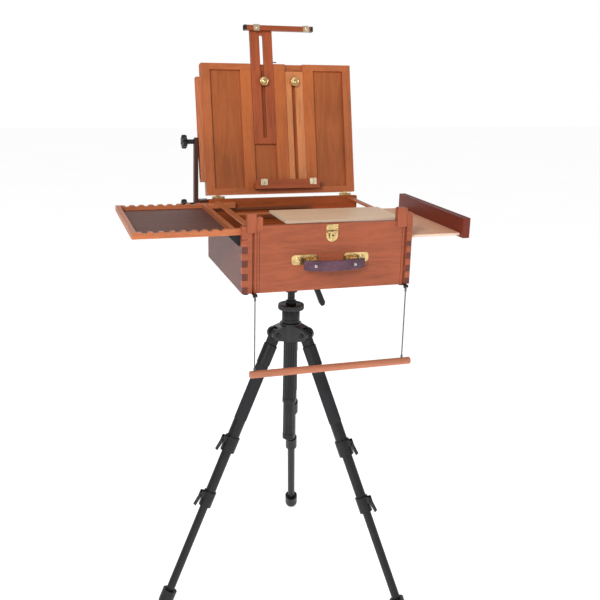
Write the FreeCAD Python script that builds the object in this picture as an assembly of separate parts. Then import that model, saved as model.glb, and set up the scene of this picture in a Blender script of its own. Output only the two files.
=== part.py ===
"""Box easel on a folding tripod, in millimetres.

The painter stands on the -Y side, +X is to the painter's right and +Z is up.
Pieces are drawn with the middle of the box at x = y = 0 and are moved as they are
saved, so that the origin lies on the floor under the middle of the whole easel.
"""
import FreeCAD
import Part

import math
import os

from FreeCAD import Matrix, Placement, Rotation, Vector

# ---- driving dimensions: the box -------------------------------------------
BOX_WIDTH = 400.0
BOX_DEPTH = 365.0
BOX_HEIGHT = 150.0
BOX_BOTTOM = 846.0               # height of the underside above the floor
BOARD = 13.0                     # thickness of the four box boards
FLOOR_BOARD = 6.0
LEFT_BOARD_HEIGHT = 122.0        # the left tray slides out above this board
RIGHT_BOARD_HEIGHT = 102.0       # the right tray slides out above this board
FINGER = 15.0                    # height of one finger of the corner joints
GAP = 0.3                        # clearance between pieces that move apart
FRONT_FACE_TOP = 982.0           # grooves and joint lines of the front board end here
# Corner blocks at the front: x from, x to, lower end, upper end, how far they stand proud.
CORNER_BLOCKS = (
    (-189.0, -169.0, 982.0, 1024.0, 3.5),
    (-169.0, -154.0, 987.0, 1016.0, 1.0),
    (161.0, 184.0, 982.0, 1026.0, 3.5),
    (184.0, 199.0, 987.0, 1015.0, 1.0),
)
GROOVES = ((-177.0, -172.0), (181.0, 186.5))
JOINT_LINES = (-167.0, -161.5, 175.0)
FEET_X = 187.0
FEET_Y = 164.0
FOOT_HEIGHT = 6.0
SIDE_STRIP = 15.0                # width of the flat strips inside the box's rim
STRIP_Z = (989.5, 992.7)
RUNNER = 6.5                     # how far the tray runners stand off the boards
TRAY_BRACKET_Y = (-164.0, 154.0)  # front faces of the brackets under the left tray

# ---- driving dimensions: latch and handle ----------------------------------
LATCH_X = 5.0
LATCH_PIN_Z = 978.0
LATCH_STAND_OFF = 5.0            # from the board to the latch's pin
HANDLE_X = 3.0
HANDLE_Z = 917.0
HANDLE_STAND_OFF = 9.0           # from the board to the handle's pins
HANDLE_DROOP = 3.0               # degrees the strap leans below level
PIN_SPREAD = 47.0                # from the middle of the handle to each pin
PLATE_SPREAD = 61.0              # from the middle of the handle to each bracket plate
PLATE_SIZE = (60.0, 22.0)
DOME_SPREAD = 76.0
STRAP_SHIFT = 4.0                # the strap sits this far right of the fittings' middle
STRAP_HALF = 71.0
STRAP_BOW = 24.0                 # from the pins to the outer face of the strap
STRAP_END = 7.0                  # from the pins to the inner face at the strap's ends
STRAP_THICK = 4.5
STRAP_TALL = 25.0
STRAP_RISE = 3.5                 # the strap's upper edge above the pins

# ---- driving dimensions: the lid -------------------------------------------
LID_TILT = 12.6                  # degrees back from upright
LID_HEIGHT = 331.5
LID_DEPTH = 26.0
LID_FOOT = 6.5                   # from the hinge axis to the lid's lower edge
STILE = 22.0
RAIL = 16.0
CHANNEL_DEPTH = 8.0
LID_PANEL = 5.0
MAST_X = -40.5                   # centre of the mast
MAST_WIDTH = 58.0
SLIDE_X = 44.0                   # centre of the ledge slide
SLIDE_WIDTH = 46.0
GUIDE_EDGE = 29.0                # width of the outer guides
MAST_THICK = 10.0
SLIDE_THICK = 9.5
SLOT = 10.0
KNOB_HEIGHT = 292.0              # both brass knobs, above the hinge axis
KNOB_SLIDE_X = 41.0              # the ledge slide's slot and knob
MAST_FOOT = 134.5
MAST_TOP = 431.5
MAST_SLOT = (155.0, 405.0)       # ends of the slot, above the hinge axis
SLIDE_ENDS = (27.5, 319.0)
SLIDE_SLOT = (47.0, 293.0)
HOLDER_ENDS = (-87.0, 96.0)      # ends of the upper canvas holder with its caps
HOLDER_CAP = 7.0
HOLDER_TALL = 12.5
HOLDER_DEEP = 14.0
LEDGE_ENDS = (-78.0, 95.0)
LEDGE_Z = (18.5, 33.0)
LEDGE_LIP_TOP = 41.5
LEDGE_DEEP = 20.0
CLIP_X = (-55.0, 77.0)
CLIP_THICK = 1.5
TRACK_WIDTH = 14.0               # the groove board along the lid's left side
TRACK_Z = (41.0, 303.5)
HINGE_X = (-172.0, 172.0)
HINGE_HALF = 16.0
HINGE_BARREL = 3.2
HINGE_PIN = 1.6
STRUT_PIVOT = (185.5, 982.0)     # y and z of the strut's lower pivot
STRUT_STAND_OFF = 31.0           # from the box's left side to the strut's lower end
STRUT_REACH = 143.0              # up the lid from the hinge axis to the strut's pin
STRUT_WIDE = 18.0
KNOB_SCREW = 4.0                 # radius of the star knobs' screws

# ---- driving dimensions: trays and palette ---------------------------------
LEFT_TRAY_OUT = 232.0            # reach of the left tray beyond the box
RIGHT_TRAY_OUT = 147.0           # reach of the right tray beyond the box
LEFT_TRAY_INSIDE = 66.0          # reach of the left tray's rails into the box
LEFT_TRAY_Z = 975.0
TRAY_RAIL_HEIGHT = 14.0
TRAY_RAIL_WIDTH = 12.0
TRAY_END_RAIL = 11.0
SCALLOP_PITCH = 23.2
SCALLOP_COUNT = 8
SCALLOP_START = 28.0             # from the tray's outer end to its first scallop
SCALLOP_RADIUS = 8.5
RIGHT_TRAY_Z = 953.0
RIGHT_TRAY_BOARD = 6.0
FENCE_THICK = 18.0
PALETTE = (-93.0, 184.0, -152.0, -12.0)
PALETTE_Z = (993.0, 998.0)

# ---- driving dimensions: towel bar -----------------------------------------
WIRE_X = (-172.5, 187.5)
WIRE_LENGTH = 172.4
WIRE_RADIUS = 1.5
WIRE_PIN_RADIUS = 1.6            # the wires hang from these pins under the box
WIRE_PIN_DROP = 4.0              # from the underside of the box to the pins
TOWEL_BAR_RADIUS = 8.5
TOWEL_BAR_ENDS = (-184.0, 209.0)
TOWEL_STAND_OFF = 9.0            # wires hang this far in front of the box

# ---- driving dimensions: tripod --------------------------------------------
TRIPOD_X = -30.0
LEG_AZIMUTHS = {"left": -169.4, "right": -49.4, "rear": 70.6}
LEG_SPLAY = 24.1                 # degrees from vertical
PIVOT_RADIUS = 42.4
PIVOT_Z = 688.5
TUBE_RADII = (15.0, 12.6, 10.4)  # upper, middle and lower leg tubes
TUBE_WALL = 1.8
UPPER_END = 309.0                # distances along the leg from its pivot
MIDDLE_START = 169.0
MIDDLE_END = 460.0
LOWER_START = 330.0
FOOT_RADIUS = 18.0
CLAMP_LENGTH = 40.0
LEVER_PIN = 30.0                 # from the lower end of the clamp to the lever's pin
CASTING = (30.0, 82.0)           # the moulded top of each leg, along the leg
CASTING_RADIUS = 17.0
HUB_Z = (668.0, 713.0)
HUB_RADIUS = 27.0
HUB_ARM = 18.0                   # half the width of each forked arm
HUB_FORK = 9.6                   # half the width of the gap for a leg's tongue
BOSS_RADIUS = 15.0
COLUMN_RADIUS = 17.5
COLUMN_STEP_Z = 498.0            # below this the column is a little thinner
COLUMN_FOOT_Z = 398.0
COLUMN_TAIL_RADIUS = 15.5
HEAD_TOP_Z = 746.3
HEAD_RADIUS = 22.2
SPIGOT_RADIUS = 13.0
DISC_Z = 747.0
DISC_RADIUS = 32.5
DISC_THICK = 14.0
STEM_RADIUS = 9.0                # the stem of the mount plate stands in the column
STEM_FOOT_Z = 762.0
PAN_LEVER_Z = 804.0

# ---- worked out from the driving dimensions --------------------------------
HALF_WIDTH = BOX_WIDTH / 2
HALF_DEPTH = BOX_DEPTH / 2
BOX_TOP = BOX_BOTTOM + BOX_HEIGHT
FRONT = -HALF_DEPTH
INNER_X = HALF_WIDTH - BOARD
INNER_Y = HALF_DEPTH - BOARD
HINGE_Y = HALF_DEPTH + 4.3
HINGE_Z = BOX_TOP + 2.0
LEG_LENGTH = (PIVOT_Z - FOOT_RADIUS) / math.cos(math.radians(LEG_SPLAY))
FOOT_REACH = PIVOT_RADIUS + LEG_LENGTH * math.sin(math.radians(LEG_SPLAY))
FOOT_Y = [FOOT_REACH * math.sin(math.radians(azimuth)) for azimuth in LEG_AZIMUTHS.values()]
TOWEL_Y = FRONT - TOWEL_STAND_OFF
WIRE_PIN_Z = BOX_BOTTOM - WIRE_PIN_DROP
WIRE_TOP_Z = WIRE_PIN_Z - WIRE_PIN_RADIUS - GAP
TOWEL_BAR_Z = WIRE_TOP_Z - WIRE_LENGTH
CENTRE_X = (RIGHT_TRAY_OUT - LEFT_TRAY_OUT) / 2
CENTRE_Y = (min(FOOT_Y) + max(FOOT_Y)) / 2
LATCH_Y = FRONT - LATCH_STAND_OFF
HANDLE_Y = FRONT - HANDLE_STAND_OFF
LID_TOP = LID_FOOT + LID_HEIGHT
WINDOW_X = HALF_WIDTH - STILE
WINDOW_Z = (LID_FOOT + RAIL, LID_TOP - RAIL)
CHANNELS = ((MAST_X, MAST_WIDTH), (SLIDE_X, SLIDE_WIDTH))
TRACK_X = (-HALF_WIDTH - TRACK_WIDTH, -HALF_WIDTH)
SLAT_BACK = CHANNEL_DEPTH - GAP
MAST_FACE = SLAT_BACK - MAST_THICK
SLIDE_FACE = SLAT_BACK - SLIDE_THICK
LEDGE_BACK = MAST_FACE - 0.5     # the ledge passes in front of the mast


# ---- shape helpers ----------------------------------------------------------
def block(x0, x1, y0, y1, z0, z1):
    """A box given by its corners."""
    return Part.makeBox(x1 - x0, y1 - y0, z1 - z0, Vector(x0, y0, z0))


def rod(start, direction, length, radius):
    """A cylinder from a start point along a direction."""
    return Part.makeCylinder(radius, length, Vector(*start), Vector(*direction))


def tube(start, direction, length, outer, inner):
    """A hollow cylinder."""
    through = [start[i] - direction[i] for i in range(3)]
    return rod(start, direction, length, outer).cut(rod(through, direction, length + 2, inner))


def prism(points, offset):
    """A straight prism over a closed outline."""
    corners = [Vector(*point) for point in points]
    face = Part.Face(Part.makePolygon(corners + corners[:1]))
    return face.extrude(Vector(*offset))


def rounded(shape, radius, direction):
    """Fillet the straight edges that run along one axis (0, 1 or 2)."""
    chosen = []
    for edge in shape.Edges:
        if len(edge.Vertexes) == 2:
            span = edge.Vertexes[1].Point - edge.Vertexes[0].Point
            if abs(abs(span[direction]) - span.Length) < 1e-6:
                chosen.append(edge)
    return shape.makeFillet(radius, chosen)


def joined(shapes):
    """One solid from overlapping shapes."""
    result = shapes[0]
    for shape in shapes[1:]:
        result = result.fuse(shape)
    return result.removeSplitter()


def group(shapes):
    """Separate solids kept in one node."""
    return Part.makeCompound(shapes)


def star_knob(radius, thickness):
    """A knob with six rounded lobes along +Z, its foot at the origin."""
    lobes = [Part.makeCylinder(radius * 0.78, thickness)]
    for index in range(6):
        angle = math.radians(60 * index)
        reach = radius * 0.72
        centre = Vector(reach * math.cos(angle), reach * math.sin(angle), 0)
        lobes.append(Part.makeCylinder(radius * 0.28, thickness, centre))
    return joined(lobes)


def placed(shape, position, axis=(1, 0, 0), angle=0.0):
    """A copy turned about the origin and then moved."""
    result = shape.copy()
    turn = Placement(Vector(*position), Rotation(Vector(*axis), angle))
    result.Placement = turn.multiply(result.Placement)
    return result


def on_lid(shape):
    """Move a piece drawn on the upright lid, hinge axis at the origin, to its tilt."""
    return placed(shape, (0, HINGE_Y, HINGE_Z), (1, 0, 0), -LID_TILT)


def save(name, shape):
    """Write one piece, moved so that the origin is under the middle of the easel."""
    placed(shape, (-CENTRE_X, -CENTRE_Y, 0)).exportStep("parts/%s.step" % name)


# ---- the box -----------------------------------------------------------------
def corner_fingers(x_side, y_side, height, phase):
    """Blocks that fill every other finger of one corner of the box."""
    x0, x1 = sorted((x_side * HALF_WIDTH, x_side * INNER_X))
    y0, y1 = sorted((y_side * HALF_DEPTH, y_side * INNER_Y))
    fingers = []
    for index in range(phase, math.ceil(height / FINGER), 2):
        low = BOX_BOTTOM + index * FINGER
        high = min(low + FINGER, BOX_BOTTOM + height)
        fingers.append(block(x0, x1, y0, y1, low, high))
    return fingers


def side_board(x_side, height):
    x0, x1 = sorted((x_side * HALF_WIDTH, x_side * INNER_X))
    pieces = [block(x0, x1, -INNER_Y, INNER_Y, BOX_BOTTOM, BOX_BOTTOM + height)]
    for y_side in (-1, 1):
        pieces += corner_fingers(x_side, y_side, height, 0)
    return joined(pieces)


def end_board(y_side):
    """Front or rear board, with gaps for the fingers of the side boards."""
    y0, y1 = sorted((y_side * HALF_DEPTH, y_side * INNER_Y))
    board = block(-HALF_WIDTH, HALF_WIDTH, y0, y1, BOX_BOTTOM, BOX_TOP)
    for x_side, height in ((-1, LEFT_BOARD_HEIGHT), (1, RIGHT_BOARD_HEIGHT)):
        for finger in corner_fingers(x_side, y_side, height, 0):
            board = board.cut(finger)
    return board


def corner_block(x0, x1, z0, z1, proud):
    shape = block(x0, x1, FRONT - proud, -INNER_Y, z0, z1)
    top = [edge for edge in shape.Edges
           if edge.BoundBox.ZMin > z1 - 0.1 and edge.BoundBox.YLength > BOARD / 2]
    return shape.makeFillet(4.0, top)


def front_board():
    board = end_board(-1)
    for x0, x1 in GROOVES:
        board = board.cut(block(x0, x1, FRONT - 1, FRONT + 5.5, BOX_BOTTOM - 1, FRONT_FACE_TOP))
    for x in JOINT_LINES:
        board = board.cut(block(x, x + 1.2, FRONT - 1, FRONT + 2.0, BOX_BOTTOM - 1, FRONT_FACE_TOP))
    for dimensions in CORNER_BLOCKS:
        board = board.cut(corner_block(*dimensions))
    return board


def inner_rails():
    """Runners for both trays, and the flat strips inside the box's rim."""
    rails = []
    for y_side in (-1, 1):
        y0, y1 = sorted((y_side * INNER_Y, y_side * (INNER_Y - RUNNER)))
        rails.append(block(-INNER_X, 70, y0, y1, LEFT_TRAY_Z - 6.3, LEFT_TRAY_Z - GAP))
        rails.append(block(-60, INNER_X, y0, y1, RIGHT_TRAY_Z - 7.3, RIGHT_TRAY_Z - GAP))
    between = INNER_X - SIDE_STRIP
    for x0, x1 in ((-INNER_X, -between), (between, INNER_X)):
        rails.append(block(x0, x1, -INNER_Y, INNER_Y, *STRIP_Z))
    for y0, y1 in ((-INNER_Y, -INNER_Y + 9.5), (-16.0, -4.0)):
        rails.append(block(-between, between, y0, y1, *STRIP_Z))
    return group(rails)


def tray_bracket(y):
    """A wedge on the left side board that carries the left tray."""
    outline = [(-HALF_WIDTH, y, 973.5), (-HALF_WIDTH - 24, y, 973.5), (-HALF_WIDTH - 24, y, 970.5),
               (-HALF_WIDTH - 3, y, 950.0), (-HALF_WIDTH, y, 950.0)]
    return prism(outline, (0, 10, 0))


def wire_tab(x):
    """A tab under the box with two cheeks and the pin that one wire hangs from."""
    tab = rounded(block(x - 5, x + 5, TOWEL_Y - 5, FRONT + 8, BOX_BOTTOM - 2, BOX_BOTTOM), 3, 2)
    cheeks = [block(x + dx, x + dx + 2, TOWEL_Y - 2.5, TOWEL_Y + 2.5, WIRE_PIN_Z - 2, BOX_BOTTOM - 1)
              for dx in (-5, 3)]
    pin = rod((x - 5, TOWEL_Y, WIRE_PIN_Z), (1, 0, 0), 10, WIRE_PIN_RADIUS)
    return joined([tab, pin] + cheeks)


def mount_plate():
    """The plate screwed under the box, its stem and the boss of the pan lever's screw."""
    plate = rounded(block(TRIPOD_X - 45, TRIPOD_X + 45, -35, 35, BOX_BOTTOM - 8, BOX_BOTTOM), 8, 2)
    stem = rod((TRIPOD_X, 0, STEM_FOOT_Z), (0, 0, 1), BOX_BOTTOM - 8 - STEM_FOOT_Z, STEM_RADIUS)
    collar = rod((TRIPOD_X, 0, PAN_LEVER_Z - 12), (0, 0, 1), 24, 15)
    boss = rod((TRIPOD_X, 0, PAN_LEVER_Z), (1, 0, 0), 22, 8)
    bore = rod((TRIPOD_X + 12, 0, PAN_LEVER_Z), (1, 0, 0), 12, 4.05)
    return joined([plate, stem, collar, boss]).cut(bore)


def box_pieces():
    save("box_front_board", front_board())
    save("box_rear_board", end_board(1))
    save("box_left_board", side_board(-1, LEFT_BOARD_HEIGHT))
    save("box_right_board", side_board(1, RIGHT_BOARD_HEIGHT))
    floor_top = BOX_BOTTOM + FLOOR_BOARD
    save("box_bottom_panel", block(-INNER_X, INNER_X, -INNER_Y, INNER_Y, BOX_BOTTOM, floor_top))
    save("corner_blocks", group([corner_block(*dimensions) for dimensions in CORNER_BLOCKS]))
    save("inner_rails", inner_rails())
    brackets = [tray_bracket(y) for y in TRAY_BRACKET_Y] + [wire_tab(x) for x in WIRE_X]
    save("box_brackets", group(brackets))
    feet = [Part.makeCone(7.0, 8.5, FOOT_HEIGHT, Vector(x, y, BOX_BOTTOM - FOOT_HEIGHT))
            for x in (-FEET_X, FEET_X) for y in (-FEET_Y, FEET_Y)]
    save("rubber_feet", group(feet))
    save("mount_plate", mount_plate())


# ---- latch and handle --------------------------------------------------------
def latch_pieces():
    plate = joined([block(LATCH_X - 14, LATCH_X + 14, FRONT - 2, FRONT, 969, 995),
                    rod((LATCH_X, FRONT - 2, 969), (0, 1, 0), 2, 14)])
    knuckles = []
    for x in (LATCH_X - 12, LATCH_X + 7):
        knuckles.append(rod((x, LATCH_Y, LATCH_PIN_Z), (1, 0, 0), 5, 3))
        knuckles.append(block(x, x + 5, LATCH_Y, FRONT - 1, LATCH_PIN_Z - 2, LATCH_PIN_Z + 2))
    bore = rod((LATCH_X - 13, LATCH_Y, LATCH_PIN_Z), (1, 0, 0), 26, 1.55)
    save("latch_plate", joined([plate] + knuckles).cut(bore))

    pin = rod((LATCH_X - 12, LATCH_Y, LATCH_PIN_Z), (1, 0, 0), 24, 1.5)
    sleeve = rod((LATCH_X - 6.5, LATCH_Y, LATCH_PIN_Z), (1, 0, 0), 13, 3)
    tongue = rounded(block(LATCH_X - 6, LATCH_X + 6, LATCH_Y - 1.5, LATCH_Y + 1, 960, LATCH_PIN_Z), 3, 1)
    save("latch_lever", joined([pin, sleeve, tongue]))


def handle_fitting(side):
    """A bracket plate with two posts for the handle's pin and a domed screw."""
    plate_x = HANDLE_X + side * PLATE_SPREAD
    pin_x = HANDLE_X + side * PIN_SPREAD
    wide, tall = PLATE_SIZE[0] / 2, PLATE_SIZE[1] / 2
    plate = block(plate_x - wide, plate_x + wide, FRONT - 1.5, FRONT, HANDLE_Z - tall, HANDLE_Z + tall)
    plate = rounded(plate, 4, 1)
    dome = rod((HANDLE_X + side * DOME_SPREAD, FRONT - 4, HANDLE_Z), (0, 1, 0), 4, 5.5)
    posts = [block(pin_x + dx, pin_x + dx + 5, HANDLE_Y - 4.5, FRONT, HANDLE_Z - 4.5, HANDLE_Z + 4.5)
             for dx in (-12, 7)]
    bore = rod((pin_x - 13, HANDLE_Y, HANDLE_Z), (1, 0, 0), 26, 2.05)
    return joined([plate, dome] + posts).cut(bore)


def handle_strap():
    """An arc bowed away from the box, drawn around the middle of the two pins."""
    sagitta = STRAP_BOW - STRAP_THICK - STRAP_END
    inner = (STRAP_HALF ** 2 + sagitta ** 2) / (2 * sagitta)
    outer = inner + STRAP_THICK
    centre = Vector(STRAP_SHIFT, outer - STRAP_BOW, STRAP_RISE - STRAP_TALL)
    arc = Part.makeCylinder(outer, STRAP_TALL, centre).cut(Part.makeCylinder(inner, STRAP_TALL, centre))
    ends = (STRAP_SHIFT - STRAP_HALF, STRAP_SHIFT + STRAP_HALF)
    return arc.common(block(*ends, -STRAP_BOW - 1, 0, -STRAP_TALL, STRAP_TALL))


def handle_pieces():
    save("handle_fittings", group([handle_fitting(side) for side in (-1, 1)]))
    loops = []
    for x in (-PIN_SPREAD, PIN_SPREAD):
        loops.append(rod((x - 12.5, 0, 0), (1, 0, 0), 25, 2))
        loops.append(rod((x - 6, 0, 0), (1, 0, 0), 12, 4))
        loops.append(block(x - 6, x + 6, -15, 0, -4, 3.5))
    handle = joined([handle_strap()] + loops)
    save("leather_handle", placed(handle, (HANDLE_X, HANDLE_Y, HANDLE_Z), (1, 0, 0), HANDLE_DROOP))


# ---- lid ----------------------------------------------------------------------
def knob_hole(x, radius):
    return rod((x, -5, KNOB_HEIGHT), (0, 1, 0), 40, radius)


def lid_frame():
    """Two stiles and two rails, notched at the top for the mast and the ledge slide."""
    frame = block(-HALF_WIDTH, HALF_WIDTH, 0, LID_DEPTH, LID_FOOT, LID_TOP)
    frame = frame.cut(block(-WINDOW_X, WINDOW_X, -1, LID_DEPTH + 1, *WINDOW_Z))
    for centre, width in CHANNELS:
        half = width / 2 + 0.5
        notch = block(centre - half, centre + half, -1, CHANNEL_DEPTH, WINDOW_Z[1] - 1, LID_TOP + 1)
        frame = frame.cut(notch)
    return frame


def lid_panel():
    """The recessed panel and the guides that stand on it beside the two channels."""
    panel = block(-WINDOW_X, WINDOW_X, CHANNEL_DEPTH, CHANNEL_DEPTH + LID_PANEL, *WINDOW_Z)
    for x in (MAST_X, KNOB_SLIDE_X):
        panel = panel.cut(knob_hole(x, 3.55))
    mast_left, mast_right = MAST_X - MAST_WIDTH / 2 - 0.5, MAST_X + MAST_WIDTH / 2 + 0.5
    slide_left, slide_right = SLIDE_X - SLIDE_WIDTH / 2 - 0.5, SLIDE_X + SLIDE_WIDTH / 2 + 0.5
    spans = ((mast_left - GUIDE_EDGE, mast_left), (mast_right, slide_left),
             (slide_right, slide_right + GUIDE_EDGE))
    return group([panel] + [block(x0, x1, 0, CHANNEL_DEPTH, *WINDOW_Z) for x0, x1 in spans])


def lid_catch():
    """A small steel hook on the top rail, right behind the mast."""
    base = block(-28, -11, 9, 15, LID_TOP, LID_TOP + 1.5)
    post = block(-14, -11, 9, 12, LID_TOP, LID_TOP + 7)
    hook = block(-14, 1, 9, 12, LID_TOP + 5, LID_TOP + 7)
    return joined([base, post, hook])


def lid_pieces():
    save("lid_frame", on_lid(lid_frame()))
    save("lid_panel", on_lid(lid_panel()))
    track = block(*TRACK_X, 1, 21, *TRACK_Z)
    groove = block(TRACK_X[0] - 1, TRACK_X[0] + 7, 4, 18, TRACK_Z[0] + 8, TRACK_Z[1] - 8)
    save("lid_side_track", on_lid(track.cut(groove)))
    save("lid_catch", on_lid(lid_catch()))


def box_leaf(x):
    """The leaf on the rear board, with its two knuckles and the pin."""
    leaf = block(x - HINGE_HALF, x + HINGE_HALF, HALF_DEPTH, HALF_DEPTH + 2, HINGE_Z - 28, HINGE_Z - 8)
    pieces = [leaf, rod((x - HINGE_HALF, HINGE_Y, HINGE_Z), (1, 0, 0), 2 * HINGE_HALF, HINGE_PIN)]
    for x0, x1 in ((x - HINGE_HALF, x - 6.5), (x + 6.5, x + HINGE_HALF)):
        pieces.append(rod((x0, HINGE_Y, HINGE_Z), (1, 0, 0), x1 - x0, HINGE_BARREL))
        pieces.append(block(x0, x1, HALF_DEPTH, HALF_DEPTH + 2, HINGE_Z - 28, HINGE_Z))
    return joined(pieces)


def lid_leaf(x):
    """The leaf under the lid's lower edge, with the middle knuckle."""
    barrel = rod((x - 6, 0, 0), (1, 0, 0), 12, HINGE_BARREL)
    web = block(x - 6, x + 6, 0, 3.2, 0, LID_FOOT)
    leaf = block(x - 6, x + 6, 0, 22, LID_FOOT - 2, LID_FOOT)
    return joined([barrel, web, leaf]).cut(rod((x - 7, 0, 0), (1, 0, 0), 14, HINGE_PIN + 0.05))


def hinge_pieces():
    save("hinge_box_leaves", group([box_leaf(x) for x in HINGE_X]))
    save("hinge_lid_leaves", on_lid(group([lid_leaf(x) for x in HINGE_X])))


# ---- mast, ledge slide and their knobs ------------------------------------------
def slat(x0, x1, z0, z1, thick, slot_x, slot_low, slot_high):
    """A flat slat that slides in its channel, with a long round-ended slot."""
    board = block(x0, x1, SLAT_BACK - thick, SLAT_BACK, z0, z1)
    ends = [rod((slot_x, -20, z), (0, 1, 0), 40, SLOT / 2) for z in (slot_low, slot_high)]
    middle = block(slot_x - SLOT / 2, slot_x + SLOT / 2, -20, 20, slot_low, slot_high)
    return board.cut(joined([middle] + ends))


def clip(x, width, front, reach, z0, z1):
    """A folded brass clip on the front of a canvas holder."""
    plate = block(x - width / 2, x + width / 2, front - CLIP_THICK, front, z0, z1)
    lip = block(x - width / 2, x + width / 2, front - CLIP_THICK, front + reach, z1 - CLIP_THICK, z1)
    return joined([plate, lip])


def mast_pieces():
    half = MAST_WIDTH / 2
    mast = slat(MAST_X - half, MAST_X + half, MAST_FOOT, MAST_TOP, MAST_THICK, MAST_X, *MAST_SLOT)
    save("mast", on_lid(mast))

    left, right = HOLDER_ENDS
    low, front = MAST_TOP - HOLDER_TALL, MAST_FACE - HOLDER_DEEP
    bar = block(left + HOLDER_CAP, right - HOLDER_CAP, front, MAST_FACE, low, MAST_TOP)
    caps = [block(x, x + HOLDER_CAP, front + 0.5, MAST_FACE - 0.5, low + 0.5, MAST_TOP - 0.5)
            for x in (left, right - HOLDER_CAP)]
    save("upper_holder", on_lid(group([rounded(bar, 2, 0)] + caps)))
    clips = [clip(x, 16, front, 12, low - 2, MAST_TOP + CLIP_THICK) for x in CLIP_X]
    save("upper_clips", on_lid(group(clips)))


def ledge_pieces():
    half = SLIDE_WIDTH / 2
    slide = slat(SLIDE_X - half, SLIDE_X + half, *SLIDE_ENDS, SLIDE_THICK, KNOB_SLIDE_X, *SLIDE_SLOT)
    save("ledge_slide", on_lid(slide))
    front = LEDGE_BACK - LEDGE_DEEP
    shelf = block(*LEDGE_ENDS, front, LEDGE_BACK, *LEDGE_Z)
    lip = block(*LEDGE_ENDS, front, front + 7, LEDGE_Z[0], LEDGE_LIP_TOP)
    pad = block(SLIDE_X - half, SLIDE_X + half, LEDGE_BACK, SLIDE_FACE, SLIDE_ENDS[0], LEDGE_Z[1])
    save("canvas_ledge", on_lid(joined([shelf, lip, pad])))
    clips = [clip(x, 18, front, 9, 27, LEDGE_LIP_TOP + CLIP_THICK) for x in CLIP_X]
    save("ledge_clips", on_lid(group(clips)))


def brass_knob(x):
    """A round brass knob on a screw that runs through the slot into the lid panel."""
    face = MAST_FACE - GAP
    washer = rod((x, face - 1.5, KNOB_HEIGHT), (0, 1, 0), 1.5, 9)
    grip = rod((x, face - 13, KNOB_HEIGHT), (0, 1, 0), 9, 12)
    neck = rod((x, face - 4, KNOB_HEIGHT), (0, 1, 0), 3, 6)
    screw = rod((x, face - 2, KNOB_HEIGHT), (0, 1, 0), CHANNEL_DEPTH + LID_PANEL - face + 2, 3.5)
    knob = joined([grip.makeFillet(2.0, grip.Edges[:1]), neck, washer, screw])
    return on_lid(knob)


# ---- strut ------------------------------------------------------------------------
def strut_pieces():
    tilt = math.radians(LID_TILT)
    foot = Vector(-HALF_WIDTH - STRUT_STAND_OFF, *STRUT_PIVOT)
    top = Vector(TRACK_X[0] - 5.6,
                 HINGE_Y + STRUT_REACH * math.sin(tilt) + 11 * math.cos(tilt),
                 HINGE_Z + STRUT_REACH * math.cos(tilt) - 11 * math.sin(tilt))
    lean = math.degrees(math.atan2(top.y - foot.y, top.z - foot.z))
    length = math.hypot(top.y - foot.y, top.z - foot.z)

    # The strut is drawn upright with its lower pivot at the origin, then leaned back.
    shift = top.x - foot.x
    half = STRUT_WIDE / 2
    outline = [(-5, -half, -9), (5, -half, -9),
               (shift + 5, -half, length + 9), (shift - 5, -half, length + 9)]
    arm = prism(outline, (0, STRUT_WIDE, 0))
    arm = arm.cut(rod((-20, 0, 0), (1, 0, 0), 60, KNOB_SCREW + 0.05))
    pin = rod((shift - 5, 0, length), (1, 0, 0), 15, 3)
    arm = joined([arm, pin]).cut(rod((shift - 30, 0, length), (1, 0, 0), 31, KNOB_SCREW + 0.05))
    save("strut_arm", placed(arm, foot, (1, 0, 0), -lean))

    # Each knob: radius of the grip, start of the stem, height up the strut, length of the screw.
    knobs = {"upper": (17.5, shift - 23.5, length, 24), "lower": (15.0, -22.0, 0, 48)}
    for name, (radius, start, height, screw_length) in knobs.items():
        grip = placed(star_knob(radius, 14), (start - 14, 0, height), (0, 1, 0), 90)
        stem = rod((start, 0, height), (1, 0, 0), 17, 6)
        screw = rod((start, 0, height), (1, 0, 0), screw_length, KNOB_SCREW)
        save("star_knob_%s" % name, placed(joined([grip, stem, screw]), foot, (1, 0, 0), -lean))

    rear_block = block(-HALF_WIDTH - 23, -HALF_WIDTH, HALF_DEPTH - 10, HALF_DEPTH + 16, 962, 995)
    bore = rod((-HALF_WIDTH - 30, foot.y, foot.z), (1, 0, 0), 32, KNOB_SCREW + 0.05)
    save("strut_block", rear_block.cut(bore))


# ---- trays and palette ---------------------------------------------------------------
def scalloped_rail(x0, x1, y0, y1):
    """A side rail of the left tray, with rests for brushes cut along its top."""
    top = LEFT_TRAY_Z + TRAY_RAIL_HEIGHT
    rail = block(x0, x1, y0, y1, LEFT_TRAY_Z, top)
    for index in range(SCALLOP_COUNT):
        x = x0 + SCALLOP_START + index * SCALLOP_PITCH
        rail = rail.cut(rod((x, -HALF_DEPTH, top + 5), (0, 1, 0), BOX_DEPTH, SCALLOP_RADIUS))
    return rail


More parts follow.
